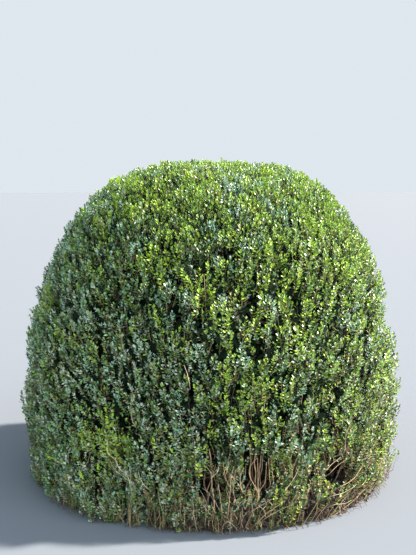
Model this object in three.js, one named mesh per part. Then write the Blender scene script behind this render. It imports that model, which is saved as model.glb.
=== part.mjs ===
// A box (Buxus) shrub clipped to a big garden dome, rooted in open ground.
//
// Units are millimetres, +Z is up and the ground is the plane z = 0. The origin
// is the middle of the trunk's flat cut foot. The front, the side where the
// skirt is thin and the bare stems show, faces -Y.
//
// The plant is a short trunk that forks at once into eight boughs, slimmer
// stems that come up round it from the same root, one clipped crown of foliage
// that sits on all of them, and under the crown's rim a skirt of separate lobes
// of foliage that reach down nearly to the ground. Between the front lobes
// there are open windows in which only bare stems stand.

import * as THREE from "three";

// ---- sizes -----------------------------------------------------------------
const HEIGHT = 1652; // ground to the top of the clipped crown
const RADIUS = 1003; // the widest clipped radius
const WIDEST_Z = 190; // height of the widest place
const FOOT_RADIUS = 964; // radius of the skirt where it meets the ground
const DOME_POWER = 2.5; // 2 is an ellipse, more is squarer at the shoulder
const RIM_Z = 380; // underside of the crown, top of the skirt lobes
const FIT = 0.3; // gap where two pieces meet

const DOME_AROUND = 68; // faces round the crown
const DOME_UP = 27; // faces from the foot of the outline to the top

const LUMPS = 190; // swellings and hollows of the clipped surface
const LUMP_DEPTH = 21;
const LUMP_WIDTH = [75, 150];

const TRUNK_HEIGHT = 165;
const TRUNK_TOP_RADIUS = 128;
const TRUNK_WAIST_RADIUS = 118;
const TRUNK_FLARE = 78; // how far the root flare runs out at the ground
const TRUNK_LEAN = [14, -10]; // offset of the fork from the foot

const BOUGH_RING = 86; // where the outer boughs leave the trunk
const BOUGH_BASE = 31;
const BOUGH_TIP = 21;
const MID_BOUGH_BASE = 37;

const STEM_BASE = 5.4; // foot of a slim stem at the front
const STEM_TIP = 3.9;
const RING_BASE = 14; // foot of a stem behind the skirt
const RING_TIP = 9;

const GREEN = { leaf: 0x47632f, young: 0x5f7f3a };
const BARK = { trunk: 0x7d6a52, bough: 0x8f7a5e, stem: 0xa58a66 };

// ---- helpers ---------------------------------------------------------------
const TAU = Math.PI * 2;
const GOLDEN = Math.PI * (3 - Math.sqrt(5));
const clamp = (x, a, b) => Math.min(b, Math.max(a, x));
const mix = (a, b, t) => a + (b - a) * t;
const smooth = (a, b, x) => {
  const t = clamp((x - a) / (b - a), 0, 1);
  return t * t * (3 - 2 * t);
};
// The same number for the same pair, between 0 and 1.
const chance = (i, k) => {
  const s = Math.sin(i * 12.9898 + k * 78.233 + 0.5) * 43758.5453;
  return s - Math.floor(s);
};
// Bearings are measured from the front (-Y), positive towards +X.
const around = (bearing, r, z) => {
  const a = (bearing * Math.PI) / 180;
  return new THREE.Vector3(Math.sin(a) * r, -Math.cos(a) * r, z);
};
const bearingOf = (x, y) => (Math.atan2(x, -y) * 180) / Math.PI;
const turn = (a) => ((a + 540) % 360) - 180; // to -180..180

// Radius of the clipped outline at a height.
function outline(z) {
  if (z >= HEIGHT) return 0;
  if (z >= WIDEST_Z) {
    const u = (z - WIDEST_Z) / (HEIGHT - WIDEST_Z);
    return RADIUS * Math.pow(1 - Math.pow(u, DOME_POWER), 1 / DOME_POWER);
  }
  const u = (WIDEST_Z - z) / WIDEST_Z;
  return mix(RADIUS, FOOT_RADIUS, Math.pow(u, 2.6));
}

// Swellings and hollows: round bumps spread over the outline on a spiral.
const bumps = [];
for (let i = 0; i < LUMPS; i++) {
  const z = HEIGHT * ((i + 0.5) / LUMPS);
  bumps.push({
    at: around(((i * GOLDEN) / TAU) * 360, outline(z), z),
    high: LUMP_DEPTH * (2 * chance(i, 1) - 0.95),
    wide: mix(LUMP_WIDTH[0], LUMP_WIDTH[1], chance(i, 2)),
  });
}
// The broad places where the shears went in deeper or left more on.
const broad = [
  { bearing: -84, z: 1290, high: -9, wide: 150 }, // slack left shoulder
  { bearing: 88, z: 1180, high: 14, wide: 240 }, // full right shoulder
  { bearing: -20, z: 1010, high: -16, wide: 90 }, // hollows in the middle
  { bearing: -48, z: 790, high: -14, wide: 90 },
  { bearing: 28, z: 840, high: -14, wide: 100 },
  { bearing: 40, z: 300, high: -22, wide: 110 }, // thin place at the window
].map((b) => ({ at: around(b.bearing, outline(b.z), b.z), ...b }));

function unevenness(p) {
  let d = 0;
  for (const b of bumps) {
    const q = p.distanceToSquared(b.at) / (b.wide * b.wide);
    if (q < 12) d += b.high * Math.exp(-q / 2);
  }
  for (const b of broad) {
    const q = p.distanceToSquared(b.at) / (b.wide * b.wide);
    if (q < 12) d += b.high * Math.exp(-q / 2);
  }
  return clamp(d, -40, 28);
}

function paint(color, roughness) {
  return new THREE.MeshStandardMaterial({ color, roughness, metalness: 0 });
}

function piece(name, geometry, material) {
  geometry.computeVertexNormals();
  const mesh = new THREE.Mesh(geometry, material);
  mesh.name = name;
  return mesh;
}

// ---- the clipped crown -----------------------------------------------------
// A lathed outline, then pushed in and out along its own normal.
function crownGeometry() {
  const profile = [new THREE.Vector2(0, RIM_Z)];
  for (const r of [330, 640, 860]) profile.push(new THREE.Vector2(r, RIM_Z));
  const top = Math.PI / 2;
  for (let i = 0; i <= DOME_UP; i++) {
    const a = top * (i / DOME_UP);
    // even steps of angle on the rounded square outline
    const c = Math.pow(Math.cos(a), 2 / DOME_POWER);
    const s = Math.pow(Math.sin(a), 2 / DOME_POWER);
    const z = WIDEST_Z + (HEIGHT - WIDEST_Z) * s;
    if (z < RIM_Z + 12) continue;
    if (profile.length === 4)
      profile.push(
        new THREE.Vector2(outline(RIM_Z) - 14, RIM_Z),
        new THREE.Vector2(outline(RIM_Z + 16), RIM_Z + 16),
      );
    if (z - profile[profile.length - 1].y < 3 && c > 0.5) continue;
    profile.push(new THREE.Vector2(i === DOME_UP ? 0 : RADIUS * c, z));
  }
  const geometry = new THREE.LatheGeometry(profile, DOME_AROUND);
  geometry.rotateX(Math.PI / 2); // the lathe turns about Y: stand it on Z
  const at = geometry.getAttribute("position");
  const p = new THREE.Vector3();
  for (let i = 0; i < at.count; i++) {
    p.fromBufferAttribute(at, i);
    const r = Math.hypot(p.x, p.y);
    const onFace = smooth(RIM_Z + 4, RIM_Z + 60, p.z);
    const rimOut = p.z < RIM_Z + 30 && r > 900 ? 1 : 0;
    const d = unevenness(p) * Math.max(onFace, rimOut);
    const u = clamp((p.z - WIDEST_Z) / (HEIGHT - WIDEST_Z), 0, 1);
    // the outline's normal: level at the sides, upright at the top
    const nr = Math.pow(clamp(r / RADIUS, 0, 1), DOME_POWER - 1) / RADIUS;
    const nz = Math.pow(u, DOME_POWER - 1) / (HEIGHT - WIDEST_Z);
    const n = Math.hypot(nr, nz) || 1;
    const out = (d * nr) / n;
    const up = (d * nz) / n;
    if (r > 1e-6) {
      p.x += (p.x / r) * out;
      p.y += (p.y / r) * out;
    }
    if (p.z > RIM_Z + 1) p.z = Math.max(p.z + up * onFace, RIM_Z + 2);
    at.setXYZ(i, p.x, p.y, p.z);
  }
  return geometry;
}

// ---- the skirt -------------------------------------------------------------
// One lobe: a block between two bearings, an inner and the outer radius and
// two heights. Its top is level and square so that it meets the crown, its
// outer side carries on the clipped outline, and its foot is rounded, uneven
// and narrower than its top.
function lobeGeometry(lobe, seed) {
  const geometry = new THREE.BoxGeometry(2, 2, 2, 7, 3, 5);
  const at = geometry.getAttribute("position");
  const v = new THREE.Vector3();
  for (let i = 0; i < at.count; i++) {
    v.fromBufferAttribute(at, i);
    // v.x runs across from right to left, v.y in to out, v.z up, each -1 to 1
    const foot = smooth(0.5, -1, v.z);
    const ripple = Math.sin(3.1 * v.x + seed * 2.3 + 1.9 * v.y);
    const corner = 1 - 0.07 * v.x * v.x * v.y * v.y;
    const across = v.x * corner * (1 - lobe.pinch * foot - 0.07 * foot * foot);
    const edge = Math.max(Math.abs(v.x), Math.abs(v.y));
    const lift =
      lobe.lift * foot * (0.35 * (1 + ripple) * edge + Math.pow(edge, 6));
    const z = mix(lobe.low, lobe.high, (v.z + 1) / 2) + lift;
    const bearing = lobe.bearing - lobe.half * across;
    const full = outline(z) - lobe.shy - lobe.tuck * Math.pow(foot, 3);
    const outer = full + unevenness(around(bearing, outline(z), z));
    const inner = full - lobe.deep * (1 - 0.12 * foot - 0.05 * (1 + ripple));
    const w = around(bearing, mix(inner, outer, (v.y * corner + 1) / 2), z);
    at.setXYZ(i, w.x, w.y, w.z);
  }
  return geometry;
}

// Bearing and half width in degrees. shy is how far a lobe stays inside the
// outline, pinch how much narrower its foot is, tuck how far its foot turns in
// and lift how high the edge of its foot rises.
const TOP = RIM_Z - FIT;
const skirt = { low: 4, high: TOP, deep: 300, shy: 0, pinch: 0.03, tuck: 14, lift: 26 };
const tuft = { high: TOP, deep: 105, shy: 8, pinch: 0.26, tuck: 22, lift: 50 };
const LOBES = [
  { ...skirt, name: "skirt_front_left", bearing: -44, half: 17, pinch: 0.08 },
  { ...skirt, name: "skirt_left", bearing: -83, half: 20.7 },
  { ...skirt, name: "skirt_back_left", bearing: -128, half: 23.2 },
  { ...skirt, name: "skirt_back", bearing: 180, half: 27.9 },
  { ...skirt, name: "skirt_back_right", bearing: 129, half: 22.3 },
  { ...skirt, name: "skirt_right", bearing: 80.5, half: 24.5, low: 14, deep: 280, pinch: 0.1 },
  { ...tuft, name: "tuft_front", bearing: -16, half: 10, low: 14, deep: 170, shy: 6 },
  { ...tuft, name: "tuft_middle", bearing: 5, half: 4.4, low: 36, deep: 120 },
  { ...tuft, name: "tuft_front_right", bearing: 22.5, half: 5.6, low: 26, deep: 120 },
  { ...tuft, name: "tuft_right", bearing: 32.8, half: 3.6, low: 56, deep: 100 },
  { ...tuft, name: "tuft_far_right", bearing: 50, half: 3.6, low: 80, deep: 120 },
];

// ---- limbs -----------------------------------------------------------------
// A tapering limb on a cubic curve. It is cut level at its foot and at its tip,
// so both ends lie flat on what they meet.
function limbGeometry(path, base, tip, sides, steps, swell = 0) {
  const curve = new THREE.CubicBezierCurve3(...path);
  const geometry = new THREE.CylinderGeometry(1, 1, 1, sides, steps, false);
  const at = geometry.getAttribute("position");
  const up = new THREE.Vector3(0, 0, 1);
  const v = new THREE.Vector3();
  for (let i = 0; i < at.count; i++) {
    v.fromBufferAttribute(at, i);
    const t = clamp(v.y + 0.5, 0, 1);
    const o = curve.getPoint(t);
    const along = curve.getTangent(t);
    const level = Math.max(1 - smooth(0, 0.16, t), smooth(0.86, 1, t));
    const n = along.clone().lerp(up, level).normalize();
    const a = new THREE.Vector3(1, 0, 0).addScaledVector(n, -n.x).normalize();
    const b = new THREE.Vector3().crossVectors(n, a);
    const r = mix(base, tip, Math.pow(t, 0.8)) * (1 + swell * Math.exp(-t * 14));
    // v.x and v.z lie on the unit circle, and the turn keeps faces outwards
    const p = o.addScaledVector(a, v.x * r).addScaledVector(b, -v.z * r);
    at.setXYZ(i, p.x, p.y, p.z);
  }
  return geometry;
}

// The trunk: a short stout stem with a lobed root flare and a flat cut foot.
function trunkGeometry() {
  const geometry = new THREE.CylinderGeometry(1, 1, 1, 24, 6, false);
  const at = geometry.getAttribute("position");
  const v = new THREE.Vector3();
  for (let i = 0; i < at.count; i++) {
    v.fromBufferAttribute(at, i);
    const t = clamp(v.y + 0.5, 0, 1);
    const a = Math.atan2(-v.z, v.x);
    const k = Math.hypot(v.x, v.z);
    const flare = TRUNK_FLARE * Math.exp(-t * 4.6);
    const roots = 1 + 0.34 * Math.cos(5 * a + 0.6) + 0.2 * Math.cos(3 * a - 1.1);
    const flute = 5 * Math.cos(7 * a + 0.8) * (1 - 0.6 * t);
    const r =
      mix(TRUNK_WAIST_RADIUS, TRUNK_TOP_RADIUS, smooth(0.35, 1, t)) +
      flare * roots +
      flute;
    at.setXYZ(
      i,
      Math.cos(a) * r * k + TRUNK_LEAN[0] * t,
      Math.sin(a) * r * k + TRUNK_LEAN[1] * t,
      TRUNK_HEIGHT * t,
    );
  }
  return geometry;
}

// Boughs: one in the middle and seven round it, from the trunk's top to the
// crown's underside.
const boughs = [];
for (let i = 0; i < 8; i++) {
  const mid = i === 0;
  const bearing = mid ? 0 : (i - 1) * (360 / 7) + 14 + 9 * (chance(i, 11) - 0.5);
  const foot = around(bearing, mid ? 0 : BOUGH_RING, TRUNK_HEIGHT + FIT);
  foot.x += TRUNK_LEAN[0];
  foot.y += TRUNK_LEAN[1];
  const reach = mid ? 30 : mix(320, 455, chance(i, 12));
  const head = around(bearing + 8 * (chance(i, 13) - 0.5), reach, RIM_Z - FIT);
  const rise = RIM_Z - TRUNK_HEIGHT;
  const path = [
    foot,
    around(bearing, (mid ? 0 : BOUGH_RING) + reach * 0.12, 0)
      .add(new THREE.Vector3(TRUNK_LEAN[0], TRUNK_LEAN[1], TRUNK_HEIGHT + rise * 0.34)),
    around(bearing, mix(BOUGH_RING, reach, 0.72), TRUNK_HEIGHT + rise * 0.55),
    head,
  ];
  if (mid) {
    path[1].set(foot.x + 6, foot.y - 4, TRUNK_HEIGHT + rise * 0.34);
    path[2].set(head.x - 8, head.y + 6, TRUNK_HEIGHT + rise * 0.7);
  }
  boughs.push({
    name: mid ? "bough_middle" : "bough_" + i,
    path,
    base: mid ? MID_BOUGH_BASE : BOUGH_BASE,
    tip: mid ? 27 : BOUGH_TIP,
  });
}

// Slim stems that come up round the trunk. Those of the windows stand near the
// outline and show: foot bearing and radius, then head bearing and radius.
const SHOWN = [
  [-4.8, 845, -4.3, 930], [-2.6, 800, -1.6, 895], [-1, 850, -0.8, 925],
  [10.3, 800, 10.6, 905], [12.4, 845, 12.1, 935], [14, 810, 14.2, 900], [15.9, 780, 15.8, 870],
  [38, 800, 39.2, 915], [39.8, 750, 42, 870], [41.8, 830, 44.6, 935], [44, 700, 46.5, 790],
  [-20, 690, -20.5, 780], [-12, 700, -12.5, 790], [5, 750, 5.5, 830],
  [20, 740, 21, 830], [25, 735, 26, 835], [32, 740, 33.5, 840], [50, 690, 51, 800],
];
const stems = SHOWN.map(([b0, r0, b1, r1], i) => {
  const foot = around(b0, r0, 0);
  const head = around(b1, r1, RIM_Z - FIT);
  const sway = (k, size) => (chance(i, k) - 0.5) * size;
  return {
    name: "stem_front_" + (i + 1),
    path: [
      foot,
      around(b0 + sway(21, 3), mix(r0, r1, 0.1), RIM_Z * 0.34),
      around(b1 + sway(22, 3), mix(r0, r1, 0.72), RIM_Z * 0.66),
      head,
    ],
    base: STEM_BASE * mix(0.82, 1.2, chance(i, 23)),
    tip: STEM_TIP * mix(0.85, 1.15, chance(i, 24)),
  };
});
// The rest of the ring, behind the lobes of the skirt.
const HIDDEN = 11;
for (let i = 0; i < HIDDEN; i++) {
  const b0 = 62 + (i * 250) / HIDDEN + 6 * (chance(i, 31) - 0.5);
  const r0 = mix(390, 470, chance(i, 32));
  const r1 = mix(520, 590, chance(i, 33));
  stems.push({
    name: "stem_ring_" + (i + 1),
    path: [
      around(b0, r0, 0),
      around(b0, mix(r0, r1, 0.12), RIM_Z * 0.34),
      around(b0 + 5 * (chance(i, 34) - 0.5), mix(r0, r1, 0.7), RIM_Z * 0.66),
      around(b0 + 5 * (chance(i, 35) - 0.5), r1, RIM_Z - FIT),
    ],
    base: RING_BASE * mix(0.85, 1.2, chance(i, 36)),
    tip: RING_TIP * mix(0.85, 1.15, chance(i, 37)),
  });
}

// ---- the plant -------------------------------------------------------------
const plant = new THREE.Group();
plant.add(piece("foliage_crown", crownGeometry(), paint(GREEN.leaf, 0.6)));
LOBES.forEach((lobe, i) =>
  plant.add(
    piece(
      lobe.name,
      lobeGeometry(lobe, i + 1),
      paint(lobe.name.startsWith("tuft") ? GREEN.young : GREEN.leaf, 0.6),
    ),
  ),
);
plant.add(piece("trunk", trunkGeometry(), paint(BARK.trunk, 0.85)));
for (const b of boughs)
  plant.add(
    piece(b.name, limbGeometry(b.path, b.base, b.tip, 8, 6, 0.04), paint(BARK.bough, 0.85)),
  );
for (const s of stems)
  plant.add(
    piece(s.name, limbGeometry(s.path, s.base, s.tip, 6, 5, 0.25), paint(BARK.stem, 0.85)),
  );

export default plant;
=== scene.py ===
"""A box shrub clipped to a garden dome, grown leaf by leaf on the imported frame.

Metres, +Z up, the ground is z = 0 and the front faces -Y. The clipped outline
and the limbs repeat the sizes of the solids. Twigs and leaves are grown from
the limbs by a seeded branching rule and joined into a few large pieces.
"""

import math

import bpy
import numpy as np
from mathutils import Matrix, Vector, kdtree


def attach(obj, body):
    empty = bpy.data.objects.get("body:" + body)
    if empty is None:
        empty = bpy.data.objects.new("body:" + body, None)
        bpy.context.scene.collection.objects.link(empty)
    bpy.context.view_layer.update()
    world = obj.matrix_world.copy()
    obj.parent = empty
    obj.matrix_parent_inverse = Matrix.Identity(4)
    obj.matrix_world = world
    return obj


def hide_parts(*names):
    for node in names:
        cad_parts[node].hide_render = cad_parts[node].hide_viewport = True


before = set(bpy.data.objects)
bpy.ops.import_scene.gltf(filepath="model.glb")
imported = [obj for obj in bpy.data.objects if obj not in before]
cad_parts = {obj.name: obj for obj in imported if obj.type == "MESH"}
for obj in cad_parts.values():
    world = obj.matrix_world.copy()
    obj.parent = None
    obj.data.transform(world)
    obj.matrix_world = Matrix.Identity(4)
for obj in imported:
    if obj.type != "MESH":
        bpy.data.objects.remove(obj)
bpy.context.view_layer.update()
rng = np.random.default_rng(70417)

# ---- sizes of the solids, in metres ------------------------------------------
HEIGHT = 1.652
RADIUS = 1.003
WIDEST_Z = 0.190
FOOT_RADIUS = 0.964
POWER = 2.5
RIM_Z = 0.380
TRUNK_H = 0.165
TRUNK_LEAN = np.array([0.014, -0.010, 0.0])

# ---- the photo's camera --------------------------------------------------------
IMAGE = (416, 555)
EYE = np.array([-0.018, -4.447, 1.5])
PITCH = math.radians(6.035)
FOCAL_PX = 834.0

# ---- the growth rule -----------------------------------------------------------
LOBE_GAP = 0.185  # distance between the lobes of the relief, each of a few plumes
LOBE_TALL = 0.78
PLUME_GAP = 0.082  # distance between plumes of shoots, level
PLUME_TALL = 0.66  # a plume is taller than it is wide by one over this
SPRAY_GAP = 0.040  # distance between sprays, the few shoots of one small branch
SPRAY_TALL = 0.52
SHOOT_GAP = 0.0139  # distance between shoots
SHOOT_TALL = 0.52
PLUME_DEPTH = 0.115  # how far inside the surface a plume starts
LEAF_LENGTH = 0.0170
LEAF_PLACES = np.array(  # where the pairs of leaves sit, from the shoot's end down
    [0.0, 0.0044, 0.0102, 0.0170, 0.0246, 0.0326, 0.0408, 0.0490, 0.0572, 0.0654, 0.0736,
     0.0818, 0.0900]
)
LEAF_LEANS = np.array([17, 29, 39, 46, 51, 54, 56, 57, 58, 59, 59, 60, 60.0])
LEAF_SIZES = np.array(
    [0.62, 0.86, 0.98, 1.02, 1.02, 1.0, 1.0, 0.98, 0.96, 0.95, 0.95, 0.94, 0.94]
)
TAU = 2 * math.pi
UP = np.array([0.0, 0.0, 1.0])


def unit(v):
    return v / np.maximum(np.linalg.norm(v, axis=-1, keepdims=True), 1e-12)


def smooth(a, b, x):
    t = np.clip((x - a) / (b - a), 0, 1)
    return t * t * (3 - 2 * t)


def mix(a, b, t):
    return a + (b - a) * t


def chance(i, k):
    """The same number for the same pair, as the solids were made with."""
    s = math.sin(i * 12.9898 + k * 78.233 + 0.5) * 43758.5453
    return s - math.floor(s)


def around(bearing, r, z):
    a = math.radians(bearing)
    return np.array([math.sin(a) * r, -math.cos(a) * r, z])


def bearing_of(p):
    return np.degrees(np.arctan2(p[..., 0], -p[..., 1]))


def outline(z):
    """Radius of the clipped outline at a height."""
    z = np.asarray(z, float)
    u = np.clip((z - WIDEST_Z) / (HEIGHT - WIDEST_Z), 0, 1)
    up = RADIUS * (1 - u**POWER) ** (1 / POWER)
    d = np.clip((WIDEST_Z - z) / WIDEST_Z, 0, 1)
    return np.where(z >= WIDEST_Z, up, mix(RADIUS, FOOT_RADIUS, d**2.6))


def outward(p):
    """Direction square to the clipped outline at the points p."""
    r = np.hypot(p[..., 0], p[..., 1])
    u = np.clip((p[..., 2] - WIDEST_Z) / (HEIGHT - WIDEST_Z), 0, 1)
    nr = (np.clip(r / RADIUS, 0, 1.02) ** (POWER - 1)) / RADIUS
    nz = u ** (POWER - 1) / (HEIGHT - WIDEST_Z)
    s = nr / np.maximum(r, 1e-6)
    return unit(np.stack([p[..., 0] * s, p[..., 1] * s, nz], -1))


def seen_at(px, py, inside=0.0):
    """The point, inside the clipped outline by a depth, that the photo shows at
    a pixel."""
    right = (px - IMAGE[0] / 2) / FOCAL_PX
    down = (py - IMAGE[1] / 2) / FOCAL_PX
    ray = np.array(
        [
            right,
            math.cos(PITCH) - down * math.sin(PITCH),
            -math.sin(PITCH) - down * math.cos(PITCH),
        ]
    )
    for t in np.arange(3.0, 5.2, 0.004):
        p = EYE + ray * t
        if p[2] < 0 or math.hypot(p[0], p[1]) < float(outline(p[2])) - inside:
            break
    p[2] = max(p[2], 0.0)
    return p


def pixel_of(p):
    """Where the photo shows the points p."""
    d = p - EYE
    depth = d[..., 1] * math.cos(PITCH) - d[..., 2] * math.sin(PITCH)
    above = d[..., 1] * math.sin(PITCH) + d[..., 2] * math.cos(PITCH)
    return np.stack(
        [IMAGE[0] / 2 + FOCAL_PX * d[..., 0] / depth, IMAGE[1] / 2 - FOCAL_PX * above / depth], -1
    )


# ---- scattering points on the solids ------------------------------------------
def triangles_of(name):
    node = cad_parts[name]
    me = node.data
    me.calc_loop_triangles()
    v = np.empty(len(me.vertices) * 3)
    me.vertices.foreach_get("co", v)
    t = np.empty(len(me.loop_triangles) * 3, np.int64)
    me.loop_triangles.foreach_get("vertices", t)
    return v.reshape(-1, 3)[t.reshape(-1, 3)]


def scatter(tri, count):
    """count points spread by area over the triangles, with their face normals."""
    cross = np.cross(tri[:, 1] - tri[:, 0], tri[:, 2] - tri[:, 0])
    area = np.linalg.norm(cross, axis=1) / 2
    pick = rng.choice(len(tri), count, p=area / area.sum())
    a, b = rng.random(count), rng.random(count)
    flip = a + b > 1
    a[flip], b[flip] = 1 - a[flip], 1 - b[flip]
    t = tri[pick]
    p = t[:, 0] + (t[:, 1] - t[:, 0]) * a[:, None] + (t[:, 2] - t[:, 0]) * b[:, None]
    return p, unit(cross[pick]), area.sum()


def thin_out(p, gap):
    """Indices of points kept so that no two are nearer than gap (one per point)."""
    gap = np.broadcast_to(gap, (len(p),))
    cell = float(gap.max())
    key = np.floor(p / cell).astype(int)
    grid, keep = {}, []
    steps = [(i, j, k) for i in (-1, 0, 1) for j in (-1, 0, 1) for k in (-1, 0, 1)]
    pts = p.tolist()
    for n, (a, b, c) in enumerate(key.tolist()):
        x, y, z = pts[n]
        g2 = float(gap[n]) ** 2
        clear = True
        for i, j, k in steps:
            for m in grid.get((a + i, b + j, c + k), ()):
                q = pts[m]
                if (q[0] - x) ** 2 + (q[1] - y) ** 2 + (q[2] - z) ** 2 < g2:
                    clear = False
                    break
            if not clear:
                break
        if clear:
            grid.setdefault((a, b, c), []).append(n)
            keep.append(n)
    return np.array(keep)


def is_crown(name):
    return name.startswith("foliage")


MASSES = [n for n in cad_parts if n.startswith(("foliage", "skirt", "tuft"))]
outer = []
for name in MASSES:
    tri = triangles_of(name)
    mid = tri.mean(1)
    nrm = unit(np.cross(tri[:, 1] - tri[:, 0], tri[:, 2] - tri[:, 0]))
    r = np.hypot(mid[:, 0], mid[:, 1])
    level = np.abs(mid[:, 2] - RIM_Z) < 0.004
    if is_crown(name):
        keep = ~(level & (nrm[:, 2] < -0.7))
    else:
        near = 0.10 if name.startswith("skirt") else 0.15
        keep = (r > outline(mid[:, 2]) - near) & ~(level & (nrm[:, 2] > 0.7))
    outer.append(tri[keep])
OUTER = np.concatenate(outer)

# ---- plumes: clusters of shoots that lean together -----------------------------
squeeze = np.array([1.0, 1.0, PLUME_TALL])
sp, sn, AREA = scatter(OUTER, 18000)
kept = thin_out(sp * squeeze, PLUME_GAP * mix(0.72, 1.30, rng.random(len(sp))))
sp, sn = sp[kept], sn[kept]
sn = unit(sn * 0.4 + outward(sp) * 0.6)
N_PLUME = len(sp)
plume_tree = kdtree.KDTree(N_PLUME)
for i, q in enumerate(sp * squeeze):
    plume_tree.insert(q, i)
plume_tree.balance()

# The shears left the top and the sunny right smoother than the rest.
def rough_at(p):
    return (
        mix(1.15, 0.42, smooth(1.10, 1.45, p[:, 2] - 0.16 * smooth(0.05, -0.35, p[:, 0])))
        * mix(1.0, 0.72, smooth(0.45, 0.8, p[:, 0]) * smooth(0.5, 0.8, p[:, 2]))
        * mix(1.0, 0.72, smooth(-0.35, -0.75, p[:, 0]))
        * mix(1.0, 0.78, smooth(0.05, -0.35, p[:, 0]) * smooth(0.95, 0.65, p[:, 2]))
    )


# Where the plumes stand together in lobes with hollows between them: the lower
# right of the front most of all.
def lobed_at(p):
    low_right = smooth(0.0, 0.25, p[:, 0]) * smooth(1.15, 0.85, p[:, 2])
    return mix(mix(0.55, 0.28, smooth(1.0, 1.4, p[:, 2])), 1.0, low_right)


lobe_squeeze = np.array([1.0, 1.0, LOBE_TALL])
lp, ln, _ = scatter(OUTER, 6000)
lp = lp[thin_out(lp * lobe_squeeze, LOBE_GAP * mix(0.75, 1.25, rng.random(len(lp))))]
lobe_tree = kdtree.KDTree(len(lp))
for i, q in enumerate(lp * lobe_squeeze):
    lobe_tree.insert(q, i)
lobe_tree.balance()
lobe_sink = rng.normal(0.0, 0.007, len(lp))

rough_cut = rough_at(sp)
plume_sink = rng.normal(0.004, 0.010, N_PLUME) * rough_cut
plume_sink += 0.022 * (rng.random(N_PLUME) < 0.10) * rough_cut
plume_groove = rng.uniform(0.5, 1.5, N_PLUME) * rough_cut
plume_lean = rng.normal(0, 0.16, (N_PLUME, 3)) * [1, 1, 0.3]
plume_root = sp - sn * PLUME_DEPTH - UP * 0.045
plume_root[:, 2] = np.maximum(plume_root[:, 2], 0.03)

# The thin front foot: between and under the tufts low shoots stand free, all but
# in the open windows (pixel, half width, half height).
WINDOWS = [(206, 487, 7.5, 12), (218, 467, 4, 4), (262, 475, 14.5, 16), (343, 471, 17, 14),
           (315, 503, 5.5, 17), (301, 463, 4, 5), (336, 508, 8, 5)]


SPARSE = [(225, 491, 27, 23, 0.80), (336, 495, 28, 17, 0.70), (262, 512, 30, 8, 0.70), (180, 508, 20, 12, 0.45)]


def in_window(p, share=0.85):
    x, y = pixel_of(p)
    return any(((x - wx) / ww) ** 2 + ((y - wy) / wh) ** 2 < share for wx, wy, ww, wh in WINDOWS)



n = 16000
fb, fz = rng.uniform(-15, 62, n), 0.34 * rng.random(n) ** 1.15
fb[:900] = rng.uniform(-32, -22, 900)
fr = outline(fz) - rng.uniform(0.0, 0.032, n) - 0.006
fa = np.radians(fb)
foot_p = np.stack([np.sin(fa) * fr, -np.cos(fa) * fr, fz], -1)
fx = pixel_of(foot_p)
free = rng.random(n) < mix(0.95, 0.32, smooth(16, 32, fb) * smooth(0.13, 0.05, fz))
for wx, wy, ww, wh in WINDOWS:
    free &= ((fx[:, 0] - wx) / ww) ** 2 + ((fx[:, 1] - wy) / wh) ** 2 > 1
foot_p = foot_p[free]
foot_n = outward(foot_p)

# A few low shoots also close the clefts between the skirts round the sides and back.
n = 9000
cb, cz = rng.uniform(58, 346, n), rng.uniform(0.01, 0.36, n)
cr, ca = outline(cz) - rng.uniform(0.004, 0.030, n), np.radians(cb)
cleft_p = np.stack([np.sin(ca) * cr, -np.cos(ca) * cr, cz], -1)
near_by = kdtree.KDTree(20000)
for i, q in enumerate(scatter(OUTER, 20000)[0]):
    near_by.insert(q, i)
near_by.balance()
cleft_p = cleft_p[[near_by.find(q)[2] > 0.034 for q in cleft_p]]
foot_p, foot_n = np.concatenate([foot_p, cleft_p]), np.concatenate([foot_n, outward(cleft_p)])

# Dark pockets where the shears met a gap: pixel, radius, depth.
POCKETS = [
    (104, 197, 0.050, 0.05), (170, 303, 0.050, 0.08), (138, 352, 0.040, 0.08),
    (201, 258, 0.036, 0.06), (268, 346, 0.050, 0.08), (299, 291, 0.045, 0.07),
    (232, 322, 0.036, 0.06), (92, 300, 0.040, 0.05), (318, 389, 0.050, 0.07),
    (248, 300, 0.035, 0.05), (183, 404, 0.040, 0.06), (120, 367, 0.040, 0.07),
    (256, 422, 0.045, 0.06), (60, 400, 0.035, 0.05), (290, 408, 0.045, 0.07),
    (341, 432, 0.036, 0.07), (207, 486, 0.050, 0.11), (259, 477, 0.060, 0.12),
    (347, 468, 0.060, 0.12), (126, 508, 0.030, 0.08), (318, 515, 0.060, 0.10),
    (285, 262, 0.035, 0.05), (297, 243, 0.030, 0.05), (225, 246, 0.034, 0.05),
    (163, 238, 0.030, 0.04), (283, 322, 0.030, 0.05), (215, 350, 0.036, 0.05),
    (150, 395, 0.034, 0.05), (96, 352, 0.034, 0.05), (235, 392, 0.040, 0.06), (222, 448, 0.050, 0.06), (240, 462, 0.040, 0.06),
    (196, 372, 0.036, 0.05), (258, 352, 0.034, 0.05),
    (352, 330, 0.030, 0.04), (311, 442, 0.045, 0.08), (330, 250, 0.028, 0.04),
]
pocket_at = [seen_at(x, y) for x, y, _, _ in POCKETS]
pocket_size = [r * (1.22 if x > 195 and y < 460 else 1.0) for x, y, r, _ in POCKETS]
pocket_deep = [d for _, _, _, d in POCKETS]
for i in rng.choice(N_PLUME, 330, replace=False):
    pocket_at.append(sp[i] + rng.normal(0, 0.03, 3))
    pocket_size.append(rng.uniform(0.016, 0.034))
    pocket_deep.append(rng.uniform(0.02, 0.06) * (rough_cut[i] * 0.7 + 0.2))

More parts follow.
